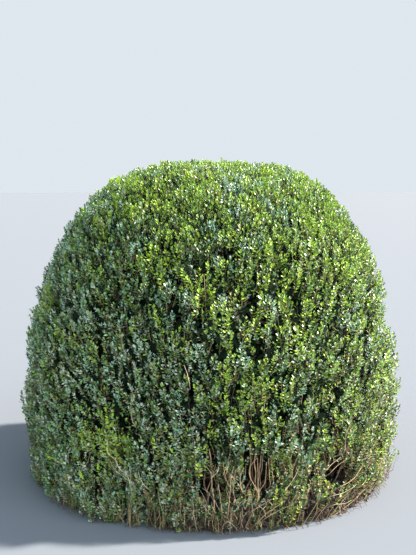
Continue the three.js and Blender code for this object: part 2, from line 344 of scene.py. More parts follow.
# ---- sprays ------------------------------------------------------------------------
spray_squeeze = np.array([1.0, 1.0, SPRAY_TALL])
qp, qn, _ = scatter(OUTER, 45000)
qp, qn = np.concatenate([qp, foot_p[:4000]]), np.concatenate([qn, foot_n[:4000]])
kept = thin_out(qp * spray_squeeze, SPRAY_GAP * mix(0.75, 1.25, rng.random(len(qp))))
qp, qn = qp[kept], unit(qn[kept] * 0.35 + outward(qp[kept]) * 0.65)
N_SPRAY = len(qp)
spray_tree = kdtree.KDTree(N_SPRAY)
for i, q in enumerate(qp * spray_squeeze):
    spray_tree.insert(q, i)
spray_tree.balance()
spray_own = np.array([plume_tree.find(q)[1] for q in qp * squeeze])
spray_rough = rough_at(qp)
spray_sink = rng.normal(0.002, 0.0070, N_SPRAY) * spray_rough
spray_groove = rng.uniform(0.4, 1.6, N_SPRAY) * spray_rough
spray_lean = rng.normal(0, 0.17, (N_SPRAY, 3)) * [1, 1, 0.3]
spray_root = qp - qn * 0.062 - UP * 0.040
low_down = smooth(0.26, 0.12, qp[:, 2])
spray_root[:, 2] -= 0.10 * low_down
spray_root = spray_root + qn * (0.030 * low_down)[:, None]
spray_root[:, 2] = np.maximum(spray_root[:, 2], 0.004)

# ---- shoots: the leafy twig ends that make the surface ---------------------------
shoot_squeeze = np.array([1.0, 1.0, SHOOT_TALL])
hp, hn, _ = scatter(OUTER, 150000)
hp, hn = np.concatenate([hp, foot_p]), np.concatenate([hn, foot_n])
kept = thin_out(hp * shoot_squeeze, SHOOT_GAP * mix(0.86, 1.14, rng.random(len(hp))))
hp, hn = hp[kept], hn[kept]
hn = unit(hn * 0.35 + outward(hp) * 0.65)


def nearest_two(tree, points):
    """The nearest centre of each point and how near its border the point lies."""
    first, border = np.empty(len(points), int), np.empty(len(points))
    for i, q in enumerate(points):
        found = tree.find_n(q, 2)
        first[i] = found[0][1]
        border[i] = found[0][2] / max(found[1][2], 1e-6)
    return first, border


own, edge = nearest_two(plume_tree, hp * squeeze)
part, rim = nearest_two(spray_tree, hp * spray_squeeze)
level_off = 1 - hn[:, 2] ** 2
drop = (hp[:, 2] - sp[own, 2]) * level_off  # height within the plume
dip = (hp[:, 2] - qp[part, 2]) * level_off  # height within the spray
rough = rough_at(hp)
bearing = bearing_of(hp)
foot_free = smooth(-14, -8, bearing) * smooth(62, 55, bearing) * smooth(0.34, 0.28, hp[:, 2])

sink = plume_sink[own] + plume_groove[own] * (
    0.036 * smooth(0.25, 1.0, edge) + 0.034 * smooth(0.015, -0.070, drop)
)
sink += spray_sink[part] + spray_groove[part] * (
    0.010 * smooth(0.50, 1.0, rim) + 0.008 * smooth(0.010, -0.035, dip)
)
thin = np.maximum(0.42 * smooth(0.80, 1.0, edge), 0.22 * smooth(0.80, 1.0, rim)) * rough
thin = np.maximum(thin, 0.34 * smooth(-0.040, -0.080, drop) * rough)
lobe, brim = nearest_two(lobe_tree, hp * lobe_squeeze)
lobed = lobed_at(hp)
hang = (hp[:, 2] - lp[lobe, 2]) * level_off
sink += lobed * (lobe_sink[lobe] + 0.030 * smooth(0.50, 1.0, brim) + 0.016 * smooth(0.0, -0.11, hang) - 0.004)
sink *= 1 - 0.6 * foot_free
thin *= 1 - 0.6 * foot_free
for at, size, deep in zip(pocket_at, pocket_size, pocket_deep):
    d = np.linalg.norm(hp - at, axis=1) / size
    hole = np.clip(1 - d * d, 0, 1)
    sink += deep * hole
    thin = np.maximum(thin, 0.78 * smooth(0.0, 0.6, hole))
sink += rng.normal(0, 0.0055, len(hp))
sink = np.maximum(sink, -0.009)
thin = np.maximum(thin, foot_free * mix(0.48, 0.72, smooth(0.14, 0.05, hp[:, 2])))
ragged = 0.026 + 0.018 * np.sin(bearing * 0.41 + 1.0) * np.sin(bearing * 0.17)
ragged += 0.034 * smooth(-6, 8, bearing) * smooth(66, 56, bearing)
thin = np.maximum(thin, smooth(ragged + 0.035, ragged, hp[:, 2]) * mix(0.55, 0.86, smooth(-22, -4, bearing)))
at_pixel = pixel_of(hp)
on_front = (hp[:, 1] < 0) & (hp[:, 2] < 0.40)
for wx, wy, ww, wh, share in SPARSE:
    d = ((at_pixel[:, 0] - wx) / ww) ** 2 + ((at_pixel[:, 1] - wy) / wh) ** 2
    thin = np.where(on_front, np.maximum(thin, share * smooth(1.0, 0.6, d)), thin)
for wx, wy, ww, wh in WINDOWS:
    for low in (0.0, 4.0):
        inside = ((at_pixel[:, 0] - wx) / ww) ** 2 + ((at_pixel[:, 1] + low - wy) / wh) ** 2 < 1
        thin = np.where(on_front & inside, 0.97, thin)
alive = rng.random(len(hp)) > thin
# Square to a plume's own rounded surface: its right side faces right, its foot down.
swell = hp - sp[own]
swell = swell - hn * (swell * hn).sum(1)[:, None]
swell = unit(hn + swell / 0.055 * (0.62 * np.clip(rough, 0.55, 1.0) * (1 - 0.5 * foot_free))[:, None])
whole = hp - lp[lobe]
whole = whole - hn * (whole * hn).sum(1)[:, None]
swell = unit(swell + whole / 0.11 * (0.30 * lobed * (1 - foot_free))[:, None])
hp, hn, own, part, sink, bearing, swell = (
    q[alive] for q in (hp, hn, own, part, sink, bearing, swell)
)
N_SHOOT = len(hp)

tip = hp - hn * (0.003 + sink)[:, None]
tip[:, 2] = np.maximum(tip[:, 2], 0.014)
fan = unit(tip - spray_root[part])
heading = unit(
    swell * 0.42
    + UP * 0.80
    + fan * 0.30
    + plume_lean[own]
    + spray_lean[part]
    + rng.normal(0, 0.14, (N_SHOOT, 3))
)

# Shoots that have grown on since the last clip and stand proud of the surface:
# pixel, how far they lean to the right, how far they stand out.
GROWN_ON = [
    (184, 274, -0.45, 0.026), (188, 280, -0.40, 0.014), (157, 281, 0.05, 0.018),
    (206, 268, 0.02, 0.020), (200, 296, 0.05, 0.012), (194, 307, -0.2, 0.012),
    (221, 162, 0.0, 0.020), (237, 163, 0.1, 0.014), (152, 314, 0.0, 0.012),
    (279, 276, -0.25, 0.012), (47, 366, -0.35, 0.016), (281, 330, 0.1, 0.014),
    (228, 318, 0.1, 0.010), (153, 312, 0.0, 0.012), (262, 392, 0.1, 0.014),
    (277, 495, 0.1, 0.012), (296, 508, 0.3, 0.012), (107, 409, 0.0, 0.010),
    (384, 352, 0.2, 0.014), (331, 212, 0.0, 0.012),
]
proud = np.where(rng.random(N_SHOOT) < 0.010, rng.uniform(0.006, 0.018, N_SHOOT), 0.0)
for px, py, lean, out in GROWN_ON:
    at = seen_at(px, py)
    i = int(np.argmin(np.linalg.norm(hp - at, axis=1)))
    proud[i] = out
    heading[i] = unit(UP + hn[i] * 0.30 + np.array([lean, 0, 0]))
    tip[i] = hp[i] + hn[i] * 0.004
long_ones = proud > 0
tip = tip + heading * proud[:, None]

# ---- leaves ----------------------------------------------------------------------
#        0 deep 1 dark 2 mid 3 cool 4 warm 5 fresh 6 lime 7 straw 8 grey 9 pale 10 olive
#        11 bronze 12 frost; colour, roughness, shine
GREENS = [
    ("leaf_deep", (0.016, 0.042, 0.014), 0.42, 0.6),
    ("leaf_dark", (0.060, 0.130, 0.042), 0.40, 0.6),
    ("leaf_mid", (0.170, 0.295, 0.044), 0.42, 0.5),
    ("leaf_cool", (0.136, 0.262, 0.156), 0.32, 0.9),
    ("leaf_warm", (0.233, 0.335, 0.036), 0.45, 0.5),
    ("leaf_fresh", (0.254, 0.386, 0.030), 0.45, 0.5),
    ("leaf_lime", (0.265, 0.440, 0.036), 0.45, 0.5),
    ("leaf_straw", (0.440, 0.290, 0.120), 0.60, 0.4),
    ("leaf_grey", (0.238, 0.300, 0.212), 0.34, 0.8),
    ("leaf_pale", (0.348, 0.420, 0.335), 0.32, 0.8),
    ("leaf_olive", (0.228, 0.255, 0.070), 0.45, 0.5),
    ("leaf_bronze", (0.240, 0.180, 0.085), 0.50, 0.5),
    ("leaf_frost", (0.205, 0.350, 0.262), 0.32, 0.8),
]
leaf_materials = []
for name, colour, rough, shine in GREENS:
    m = bpy.data.materials.new(name)
    m.use_nodes = True
    shader = m.node_tree.nodes["Principled BSDF"]
    shader.inputs["Base Color"].default_value = (*colour, 1)
    shader.inputs["Roughness"].default_value = rough
    shader.inputs["Specular IOR Level"].default_value = shine
    leaf_materials.append(m)
PALER = np.array([1, 2, 4, 12, 5, 5, 6, 7, 9, 9, 4, 7, 9])
PALER_SHADED = np.array([3, 2, 12, 12, 10, 4, 5, 7, 9, 9, 8, 7, 9])
DARKER = np.array([0, 0, 1, 1, 2, 2, 4, 10, 1, 3, 1, 0, 3])

# A plume's colour hangs on where it is, as painted light and shade: warmer yellow-green on the top and the sunny right,
# cooler blue-green and darker low down on the left, and more dark plumes high on the left. The sunny side also has more
# new growth, and the lower left more olive and grey leaves.
sun_side = np.clip(0.5 + 0.42 * sp[:, 0] + 0.25 * (sp[:, 2] - 0.8), 0, 1)
plume_colour = np.empty(N_PLUME, int)
plume_young = np.empty(N_PLUME)
for i in range(N_PLUME):
    s = sun_side[i]
    old = smooth(0.25, -0.10, sp[i, 0]) * smooth(0.95, 0.55, sp[i, 2])
    painted_shade_high_left = smooth(0.9, 1.2, sp[i, 2]) * smooth(-0.1, -0.5, sp[i, 0])
    p = np.array([0.0, mix(0.08, 0.05, s) + 0.24 * painted_shade_high_left, 0.46, mix(0.28, 0.02, s) * (1 - 0.3 * old),
                  mix(0.02, 0.42, s), mix(0.0, 0.02, s), 0.0, 0.0,
                  0.02 + 0.20 * old, 0.0, mix(0.20, 0.06, s) + 0.36 * old])
    plume_colour[i] = rng.choice(11, p=p / p.sum())
    plume_young[i] = rng.random() < mix(0.30, 0.62, s)

pairs = rng.integers(8, 11, N_SHOOT) + np.where(long_ones, 2, 0)
spray_colour = plume_colour[spray_own]
for i in np.nonzero(rng.random(N_SPRAY) < 0.55)[0]:  # as some plume near by
    spray_colour[i] = plume_colour[rng.choice([q[1] for q in plume_tree.find_n(qp[i] * squeeze, 14)])]
shoot_colour = spray_colour[part]
shade_side = rng.random(N_SHOOT) > smooth(0.30, 0.55, sun_side[own])


def paler(tint, shaded):
    return np.where(shaded, PALER_SHADED[tint], PALER[tint])


swap = rng.random(N_SHOOT)
shoot_colour = np.where(swap < 0.20, DARKER[shoot_colour], shoot_colour)
shoot_colour = np.where(swap > 0.78, paler(shoot_colour, shade_side), shoot_colour)
# Painted light and painted shade on parts of the front: paler tints where the share is above nought,
# darker ones where it is below: pixel, radius, share.
PAINTED_LIGHT_PATCHES = [
    (80, 307, 26, 0.7), (130, 354, 22, 0.7), (95, 438, 28, 0.9), (290, 312, 20, 1.0),
    (250, 406, 27, 1.0), (210, 298, 18, 0.6), (70, 386, 20, 0.5), (332, 400, 20, 0.9),
    (203, 249, 23, -0.90), (190, 380, 24, -0.32), (371, 412, 30, -0.78), (215, 458, 30, -0.75),
    (105, 495, 30, -0.34), (148, 292, 14, -0.36), (45, 450, 24, -0.28), (268, 456, 18, -0.45),
    (384, 362, 20, -0.50), (216, 304, 16, 0.6), (128, 201, 14, 0.7), (197, 252, 21, -0.75),
]
at_shoot = pixel_of(hp)
facing = (hn * (np.array(EYE) - hp)).sum(1) > 0
# Smaller patches of painted light and painted shade: pixel, radius, share.
SMALL_PAINTED_LIGHT_PATCHES = [
    (120, 188, 22, 0.9), (96, 206, 12, 0.5), (298, 294, 21, 1.0), (222, 441, 17, -0.85),
    (149, 258, 22, 0.6), (363, 415, 16, -0.7), (241, 436, 14, -0.8), (303, 404, 12, -0.5),
]


def paint_light_by_patch(colour, rows, dice):
    for px, py, size, share in rows:
        part_of = smooth(1.3, 0.4, np.linalg.norm(at_shoot - [px, py], axis=1) / size)
        for _ in range(2 if share > 0 else 1):
            hit = facing & (dice.random(N_SHOOT) < abs(share) * part_of)
            shifted = paler(colour, shade_side) if share > 0 else DARKER[colour]
            colour = np.where(hit, shifted, colour)
    return colour


shoot_colour = paint_light_by_patch(shoot_colour, PAINTED_LIGHT_PATCHES, rng)
# Low on the left most newer leaves are a plain green: their pale and blue-green tints, painted sky reflection among
# them, go back to greens.
plain_green = facing * smooth(1.35, 0.6, np.linalg.norm(at_shoot - [102, 436], axis=1) / 32)
painted_light_rng = np.random.default_rng(77)
shoot_colour = paint_light_by_patch(shoot_colour, SMALL_PAINTED_LIGHT_PATCHES, painted_light_rng)
shaded_foot = foot_free[alive] * (rng.random(N_SHOOT) < 0.95)
shoot_colour = np.where(shaded_foot > 0.5, DARKER[shoot_colour], shoot_colour)
shoot_colour = np.where((shaded_foot > 0.5) & (rng.random(N_SHOOT) < 0.35), DARKER[shoot_colour], shoot_colour)
# Painted sunlight and new growth: a few clumps, most on the shaded foot, are dealt fresh and warm tints.
for px, py, size, tint in ((298, 511, 9, 5), (329, 488, 8, 4), (291, 457, 8, 4), (187, 283, 5, 5)):
    near = np.linalg.norm(pixel_of(hp) - [px, py], axis=1) < size
    shoot_colour = np.where(near & (hp[:, 1] < 0) & (rng.random(N_SHOOT) < 0.7), tint, shoot_colour)
pace = rng.uniform(0.88, 1.16, N_SHOOT)
leafy = rng.uniform(0.86, 1.14, N_SHOOT)
upright = mix(1.0, 0.68, smooth(0.45, 0.85, hn[:, 2]))  # on the top the leaves stand up
side_ref = unit(np.cross(heading, unit(rng.normal(0, 1, (N_SHOOT, 3)))))
side_two = np.cross(heading, side_ref)
turn0 = rng.uniform(0, TAU, N_SHOOT)
KEYS = ("at", "axis", "face", "long", "wide", "tint", "shoot", "fine")
L = {k: [] for k in KEYS}
for k in range(int(pairs.max())):
    for half in (0, 1):
        on = np.nonzero(pairs > k)[0]
        n = len(on)
        phi = turn0[on] + k * TAU / 4 + half * TAU / 2 + rng.normal(0, 0.24, n)
        out = side_ref[on] * np.cos(phi)[:, None] + side_two[on] * np.sin(phi)[:, None]
        hidden = (out * swell[on]).sum(1)
        if k >= 2:  # few leaves live on the shaded inner side of a shoot
            stay = ~((hidden < -0.35) & (rng.random(n) < (0.75 if k < 4 else 0.95)))
            stay &= ~((k >= 4) & (hidden < 0.15) & (rng.random(n) < 0.35))
            on, out = on[stay], out[stay]
            n = len(on)
        lean = np.radians(LEAF_LEANS[k] * upright[on] + rng.normal(0, 8, n))
        sl, cl = np.sin(lean)[:, None], np.cos(lean)[:, None]
        axis = unit(out * sl + heading[on] * cl)
        jitter = np.where(shade_side[on], 0.38, 0.26)[:, None]
        face = unit(heading[on] * sl - out * cl + swell[on] * 0.30 + rng.normal(0, 1, (n, 3)) * jitter)
        face = unit(face - axis * (face * axis).sum(1)[:, None])
        length = LEAF_LENGTH * LEAF_SIZES[k] * leafy[on] * rng.uniform(0.86, 1.12, n)
        back = LEAF_PLACES[k] * pace[on] + rng.normal(0, 0.0010, n)
        tint = shoot_colour[on].copy()
        swap = rng.random(n)
        # Painted light of the ground's bounce: low on the shaded side the leaves get more pale tints and fewer dark
        # ones.
        painted_bounce_light = shade_side[on] * smooth(0.95, 0.55, hp[on, 2])  # low on the shaded side
        dull = mix(np.where(shade_side[on], 0.32, 0.25), 0.24, painted_bounce_light)
        tint = np.where(swap < dull, DARKER[tint], np.where(swap > 0.75 - 0.14 * painted_bounce_light, paler(tint, shade_side[on]), tint))
        if k <= 2:  # new leaves at the end of the shoot are paler
            young = (plume_young[own[on]] > 0) & (rng.random(n) < (0.70, 0.50, 0.25)[k])
            tint = np.where(young, paler(tint, shade_side[on]), tint)
        if k >= 4:
            tint = np.where(rng.random(n) < 0.45, DARKER[tint], tint)
        # Painted reflection of the sky: one leaf here and one there is dealt a pale grey or blue-green tint.
        painted_sky_glint = rng.random(n) < mix(0.02, 0.13, smooth(1.0, 1.5, hp[on, 2]) * smooth(-0.55, 0.05, hp[on, 0]))
        painted_sky_glint |= rng.random(n) < 0.10 * smooth(0.3, 0.8, sun_side[own[on]]) * smooth(1.4, 1.0, hp[on, 2])
        middle = smooth(0.30, 0.45, hp[on, 2]) * smooth(1.10, 0.90, hp[on, 2]) * smooth(-0.42, -0.15, hp[on, 0])
        painted_sky_glint |= rng.random(n) < 0.12 * middle
        tint = np.where(painted_sky_glint, rng.choice([8, 9, 12], n, p=[0.38, 0.38, 0.24]), tint)
        # Painted sky reflection taken off here: pale and blue-green tints turn to greens.
        plain_green_swap = np.isin(tint, (3, 8, 9, 12)) & (painted_light_rng.random(n) < 0.8 * plain_green[on])
        tint = np.where(plain_green_swap, painted_light_rng.choice([5, 2, 4, 10], n, p=[0.30, 0.25, 0.35, 0.10]), tint)
        lime = rng.random(n)
        tint = np.where(long_ones[on], np.where(lime < 0.5, 6, np.where(lime < 0.9, 5, 4)), tint)
        tint = np.where(rng.random(n) < 0.004, 7, tint)
        tint = np.where(rng.random(n) < mix(0.012, 0.11, smooth(1.05, 0.20, hp[on, 2])) + 0.16 * foot_free[alive][on], 11, tint)
        L["at"].append(tip[on] - heading[on] * back[:, None])
        L["axis"].append(axis)
        L["face"].append(face)
        L["long"].append(length)
        L["wide"].append(length * rng.uniform(0.42, 0.52, n))
        L["tint"].append(tint)
        L["shoot"].append(on)
        L["fine"].append(np.full(n, k <= 1) | long_ones[on])
for k in KEYS:
    L[k] = np.concatenate(L[k])

# A leaf is an oval folded along its midrib: four faces on the outer leaves of a
# shoot, two on those below.
OVAL = (
    np.array([0.0, 0.30, 0.68, 1.0, 0.68, 0.30]),
    np.array([0.0, 0.46, 0.40, 0.0, -0.40, -0.46]),
    np.array([0.0, -0.12, -0.14, -0.10, -0.14, -0.12]),
    np.array([[0, 5, 4], [0, 4, 3], [0, 3, 2], [0, 2, 1]]),
)
KITE = (
    np.array([0.0, 0.46, 1.0, 0.46]),
    np.array([0.0, 0.50, 0.0, -0.50]),
    np.array([0.0, -0.14, -0.06, -0.14]),
    np.array([[0, 3, 2], [0, 2, 1]]),
)


def leaf_mesh(shape, at, axis, face, length, width):
    sx, sy, sz, tris = shape
    side = np.cross(face, axis)
    v = (
        at[:, None]
        + axis[:, None] * (sx * length[:, None])[..., None]
        + side[:, None] * (sy * width[:, None])[..., None]
        + face[:, None] * (sz * width[:, None])[..., None]
    )
    f = (np.arange(len(at)) * len(sx))[:, None, None] + tris
    v = v.reshape(-1, 3)
    v[:, 2] = np.maximum(v[:, 2], 0.002)
    return v, f.reshape(-1, 3)


def make_piece(name, verts, polys, tints, materials, smooth_faces=True):
    """A mesh object from arrays; polys has one row per polygon."""
    me = bpy.data.meshes.new(name)
    me.vertices.add(len(verts))
    me.vertices.foreach_set("co", np.ascontiguousarray(verts, np.float32).ravel())
    count, corners = polys.shape
    me.loops.add(count * corners)
    me.loops.foreach_set("vertex_index", polys.astype(np.int32).ravel())
    me.polygons.add(count)
    me.polygons.foreach_set("loop_start", np.arange(0, count * corners, corners, dtype=np.int32))
    for m in materials:
        me.materials.append(m)
    me.polygons.foreach_set("material_index", np.asarray(tints, np.int32))
    me.polygons.foreach_set("use_smooth", np.full(count, smooth_faces))
    me.update(calc_edges=True)
    me.validate()
    o = bpy.data.objects.new(name, me)
    bpy.context.scene.collection.objects.link(o)
    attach(o, "root")
    return o


def join(parts):
    vs, fs, off = [], [], 0
    for v, f in parts:
        vs.append(v)
        fs.append(f + off)
        off += len(v)
    return np.concatenate(vs), np.concatenate(fs)


crown_nodes = [n for n in MASSES if is_crown(n)]
skirt_nodes = [n for n in MASSES if n.startswith("skirt")]
tuft_nodes = [n for n in MASSES if n.startswith("tuft")]
low = hp[:, 2] < RIM_Z
at_front = low & (bearing > -27) & (bearing < 54)
region = np.where(
    at_front,
    5,
    np.where(low, 4, (hp[:, 0] >= 0).astype(int) + 2 * (hp[:, 1] >= 0).astype(int)),
)
REGIONS = [
    ("leaves_crown_front_left", crown_nodes, "foliage"),
    ("leaves_crown_front_right", crown_nodes, "foliage"),
    ("leaves_crown_back_left", crown_nodes, "foliage"),
    ("leaves_crown_back_right", crown_nodes, "foliage"),
    ("leaves_skirt", skirt_nodes, "foliage"),
    ("leaves_tufts", tuft_nodes, "young_foliage"),
]
counts = {}
PARTS = ("at", "axis", "face", "long", "wide")
for i, (name, nodes, slot) in enumerate(REGIONS):
    here = region[L["shoot"]] == i
    fine, plain = here & L["fine"], here & ~L["fine"]
    v, f = join([
        leaf_mesh(OVAL, *(L[k][fine] for k in PARTS)),
        leaf_mesh(KITE, *(L[k][plain] for k in PARTS)),
    ])
    tints = np.concatenate([np.repeat(L["tint"][fine], 4), np.repeat(L["tint"][plain], 2)])
    o = make_piece(name, v, f, tints, leaf_materials)
    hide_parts(*nodes)
    counts[name] = len(f)

# ---- older leaves inside, which close the view through the plant -------------------
# Painted shade: the inner leaves are near black, for the shade deep inside the plant.
leaf_inner_painted_shade = bpy.data.materials.new("leaf_inner_painted_shade")
leaf_inner_painted_shade.use_nodes = True
shader = leaf_inner_painted_shade.node_tree.nodes["Principled BSDF"]
shader.inputs["Base Color"].default_value = (0.007, 0.0145, 0.0075, 1)
shader.inputs["Roughness"].default_value = 0.9
shader.inputs["Specular IOR Level"].default_value = 0.08
# The dead leaves keep their own brown, darkened near black as painted shade.
leaf_dead_painted_shade = bpy.data.materials.new("leaf_dead_painted_shade")
leaf_dead_painted_shade.use_nodes = True
shader = leaf_dead_painted_shade.node_tree.nodes["Principled BSDF"]
shader.inputs["Base Color"].default_value = (0.022, 0.0125, 0.008, 1)
shader.inputs["Roughness"].default_value = 0.8


def pocket_share(p):
    """How much of each point lies in a dark pocket, 0 to 1."""
    share = np.zeros(len(p))
    for at, size in zip(pocket_at, pocket_size):
        d = np.linalg.norm(p - at, axis=1) / size
        share = np.maximum(share, np.clip(1 - d * d, 0, 1))
    return share


def kites(p, axis, face, long):
    face = unit(face - axis * (face * axis).sum(1)[:, None])
    return leaf_mesh(KITE, p, axis, face, long, long * 0.60)


# Last year's leaves, lower on the same shoots.
turn = rng.permutation(np.repeat(np.arange(N_SHOOT), 2))[: int(N_SHOOT * 1.5)]
n = len(turn)
p = tip[turn] - hn[turn] * rng.uniform(0.026, 0.055, n)[:, None] - UP * rng.uniform(0.0, 0.060, n)[:, None]
p = p + rng.normal(0, 0.010, p.shape) - heading[turn] * proud[turn][:, None]
a = unit(heading[turn] + rng.normal(0, 0.75, (n, 3)))
v1, f1 = kites(p, a, hn[turn] + UP * 0.4 + rng.normal(0, 0.45, (n, 3)), 0.0205 * rng.uniform(0.8, 1.2, n))
t1 = np.where(rng.random(n) < 0.42, DARKER[shoot_colour[turn]], 0)
t1 = np.minimum(t1, 2)
t1 = np.where(rng.random(n) < np.where(p[:, 2] < 0.30, 0.10, 0.0), 3, t1)
b = bearing_of(p)
t1 = np.where((b > -14) & (b < 60) & (p[:, 2] < 0.32) & (rng.random(n) < 0.65), 3, t1)

# The oldest, in four layers deeper and deeper inside. Behind the open windows of
# the foot they stand further back.
parts, tints = [(v1, f1)], [t1]
for gap, near, far, size in (
    (0.024, 0.075, 0.110, 0.034),
    (0.034, 0.120, 0.165, 0.056),
    (0.043, 0.210, 0.260, 0.088),
    (0.048, 0.290, 0.350, 0.100),
):
    p, _, _ = scatter(OUTER, int(9 * AREA * 0.7 / gap**2))
    p = p[thin_out(p, gap)]
    n = len(p)
    out = outward(p)
    b = bearing_of(p)
    if near < 0.1:
        clear = pocket_share(p) > 0.25
        p, out, b = p[~clear], out[~clear], b[~clear]
        n = len(p)
    front = (b > -17) & (b < 60) & (p[:, 2] < 0.35)
    p = p - out * rng.uniform(near, far, n)[:, None] + rng.normal(0, 0.006, p.shape)
    r = np.hypot(p[:, 0], p[:, 1])
    back_to = rng.uniform(0.60, 0.78, n) if near < 0.2 else rng.uniform(0.46, 0.62, n)
    p[:, :2] *= np.where(front, np.minimum(back_to / np.maximum(r, 0.3), 1.0), 1.0)[:, None]
    p[:, 2] = np.maximum(p[:, 2], 0.02)
    a = unit(rng.normal(0, 1, p.shape) + UP * 0.7)
    face = unit(out + rng.normal(0, 0.30, p.shape))
    face = unit(face - a * (face * a).sum(1)[:, None])
    long = size * rng.uniform(0.85, 1.15, n)
    parts.append(leaf_mesh(KITE, p, a, face, long, long * 0.72))
    tints.append(np.where(rng.random(n) < np.where(front, 0.75, np.where(p[:, 2] < 0.34, 0.35, 0.0)), 3, 0))

# Dead leaves caught among the twigs just behind the fringe of the thin foot, their brown darkened near black as painted
# shade.
n = 1500
b, z = np.radians(rng.uniform(-18, 60, n)), 0.008 + 0.090 * rng.random(n) ** 1.2
r = outline(z) - rng.uniform(0.045, 0.120, n)
p = np.stack([np.sin(b) * r, -np.cos(b) * r, z], -1)
a = unit(rng.normal(0, 1, p.shape) + UP * 0.5)
face = unit(outward(p) + rng.normal(0, 0.5, p.shape))
parts.append(kites(p, a, face, 0.028 * rng.uniform(0.8, 1.2, n)))
tints.append(np.full(n, 3))
v, f = join(parts)
o = make_piece(
    "leaves_inner", v, f, np.repeat(np.concatenate(tints), 2), [leaf_inner_painted_shade] + [leaf_materials[1], leaf_materials[2], leaf_dead_painted_shade]
)
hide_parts(*crown_nodes)
counts["leaves_inner"] = len(f)


# ---- bark materials -------------------------------------------------------------------
def bark_material(name, light, dark, scale, rough):
    m = bpy.data.materials.new(name)
    m.use_nodes = True
    nt = m.node_tree
    shader = nt.nodes["Principled BSDF"]
    shader.inputs["Roughness"].default_value = rough
    where = nt.nodes.new("ShaderNodeTexCoord")
    stretch = nt.nodes.new("ShaderNodeMapping")
    stretch.inputs["Scale"].default_value = (scale, scale, scale * 0.22)
    noise = nt.nodes.new("ShaderNodeTexNoise")
    noise.inputs["Scale"].default_value = 1.0
    noise.inputs["Detail"].default_value = 6.0
    ramp = nt.nodes.new("ShaderNodeValToRGB")
    ramp.color_ramp.elements[0].position = 0.36
    ramp.color_ramp.elements[0].color = (*dark, 1)
    ramp.color_ramp.elements[1].position = 0.64
    ramp.color_ramp.elements[1].color = (*light, 1)
    nt.links.new(where.outputs["Object"], stretch.inputs["Vector"])
    nt.links.new(stretch.outputs["Vector"], noise.inputs["Vector"])
    nt.links.new(noise.outputs["Fac"], ramp.inputs["Fac"])
    nt.links.new(ramp.outputs["Color"], shader.inputs["Base Color"])
    return m


def plain_material(name, colour, rough):
    m = bpy.data.materials.new(name)
    m.use_nodes = True
    shader = m.node_tree.nodes["Principled BSDF"]
    shader.inputs["Base Color"].default_value = (*colour, 1)
    shader.inputs["Roughness"].default_value = rough
    return m


bark_old = bark_material("bark_old", (0.30, 0.23, 0.16), (0.12, 0.085, 0.055), 90, 0.9)
bark_tan = bark_material("bark_tan", (0.36, 0.25, 0.15), (0.17, 0.105, 0.055), 140, 0.85)
bark_shade = bark_material("bark_shade", (0.16, 0.105, 0.065), (0.06, 0.038, 0.022), 140, 0.9)
twig_tan = plain_material("twig_tan", (0.29, 0.195, 0.110), 0.7)
twig_grey = plain_material("twig_grey", (0.27, 0.225, 0.165), 0.8)
twig_brown = plain_material("twig_brown", (0.095, 0.052, 0.028), 0.8)
twig_green = plain_material("twig_green", (0.17, 0.19, 0.055), 0.6)


# ---- limbs ------------------------------------------------------------------------------
def rings(pts, rad, sides, relief=None):
    """Tubes round many centre lines at once: pts (n, m, 3), rad (n, m)."""
    n, m, _ = pts.shape
    along = unit(np.gradient(pts, axis=1))
    mean = unit(along.mean(1))
    ref = np.where(np.abs(mean[:, :1]) < 0.7, [[1.0, 0, 0]], [[0, 1.0, 0]])
    u = unit(np.cross(along, ref[:, None]))
    w = np.cross(along, u)
    a = np.arange(sides) * TAU / sides
    r = np.repeat(rad[:, :, None], sides, 2)
    if relief is not None:
        r = r * relief
    v = (
        pts[:, :, None]
        + u[:, :, None] * (np.cos(a) * r)[..., None]
        + w[:, :, None] * (np.sin(a) * r)[..., None]
    )
    i = np.arange(n)[:, None, None] * m * sides
    j = np.arange(m - 1)[None, :, None] * sides
    k = np.arange(sides)[None, None, :]
    k2 = (k + 1) % sides
    f = np.stack([i + j + k, i + j + k2, i + j + sides + k2, i + j + sides + k], -1)
    return v.reshape(-1, 3), f.reshape(-1, 4)


def bezier(path, t):
    a, b, c, d = (np.asarray(q)[None] for q in path)
    t = t[:, None]
    s = 1 - t
    return a * s**3 + 3 * b * s * s * t + 3 * c * s * t * t + d * t**3


def through(points, steps):
    """A smooth line through a few points, in even steps."""
    p = np.asarray(points, float)
    p = np.concatenate([[2 * p[0] - p[1]], p, [2 * p[-1] - p[-2]]])
    out = []
    for x in np.linspace(0, len(p) - 3 - 1e-9, steps + 1):
        i, t = int(x), x - int(x)
        a, b, c, d = p[i : i + 4]
        out.append(0.5 * (2 * b + (c - a) * t + (2 * a - 5 * b + 4 * c - d) * t**2
                          + (3 * b - a - 3 * c + d) * t**3))
    return np.array(out)


boughs, stems = [], []
for i in range(8):
    middle = i == 0
    b = 0 if middle else (i - 1) * (360 / 7) + 14 + 9 * (chance(i, 11) - 0.5)
    foot = around(b, 0 if middle else 0.086, TRUNK_H) + TRUNK_LEAN
    reach = 0.030 if middle else mix(0.320, 0.455, chance(i, 12))
    head = around(b + 8 * (chance(i, 13) - 0.5), reach, RIM_Z)
    rise = RIM_Z - TRUNK_H
    p1 = around(b, (0 if middle else 0.086) + reach * 0.12, 0) + TRUNK_LEAN
    p1[2] = TRUNK_H + rise * 0.34
    p2 = around(b, mix(0.086, reach, 0.72), TRUNK_H + rise * 0.55)
    if middle:
        p1 = np.array([foot[0] + 0.006, foot[1] - 0.004, TRUNK_H + rise * 0.34])
        p2 = np.array([head[0] - 0.008, head[1] + 0.006, TRUNK_H + rise * 0.7])
    name = "bough_middle" if middle else "bough_%d" % i
    boughs.append((name, [foot, p1, p2, head], 0.037 if middle else 0.031, 0.027 if middle else 0.021))
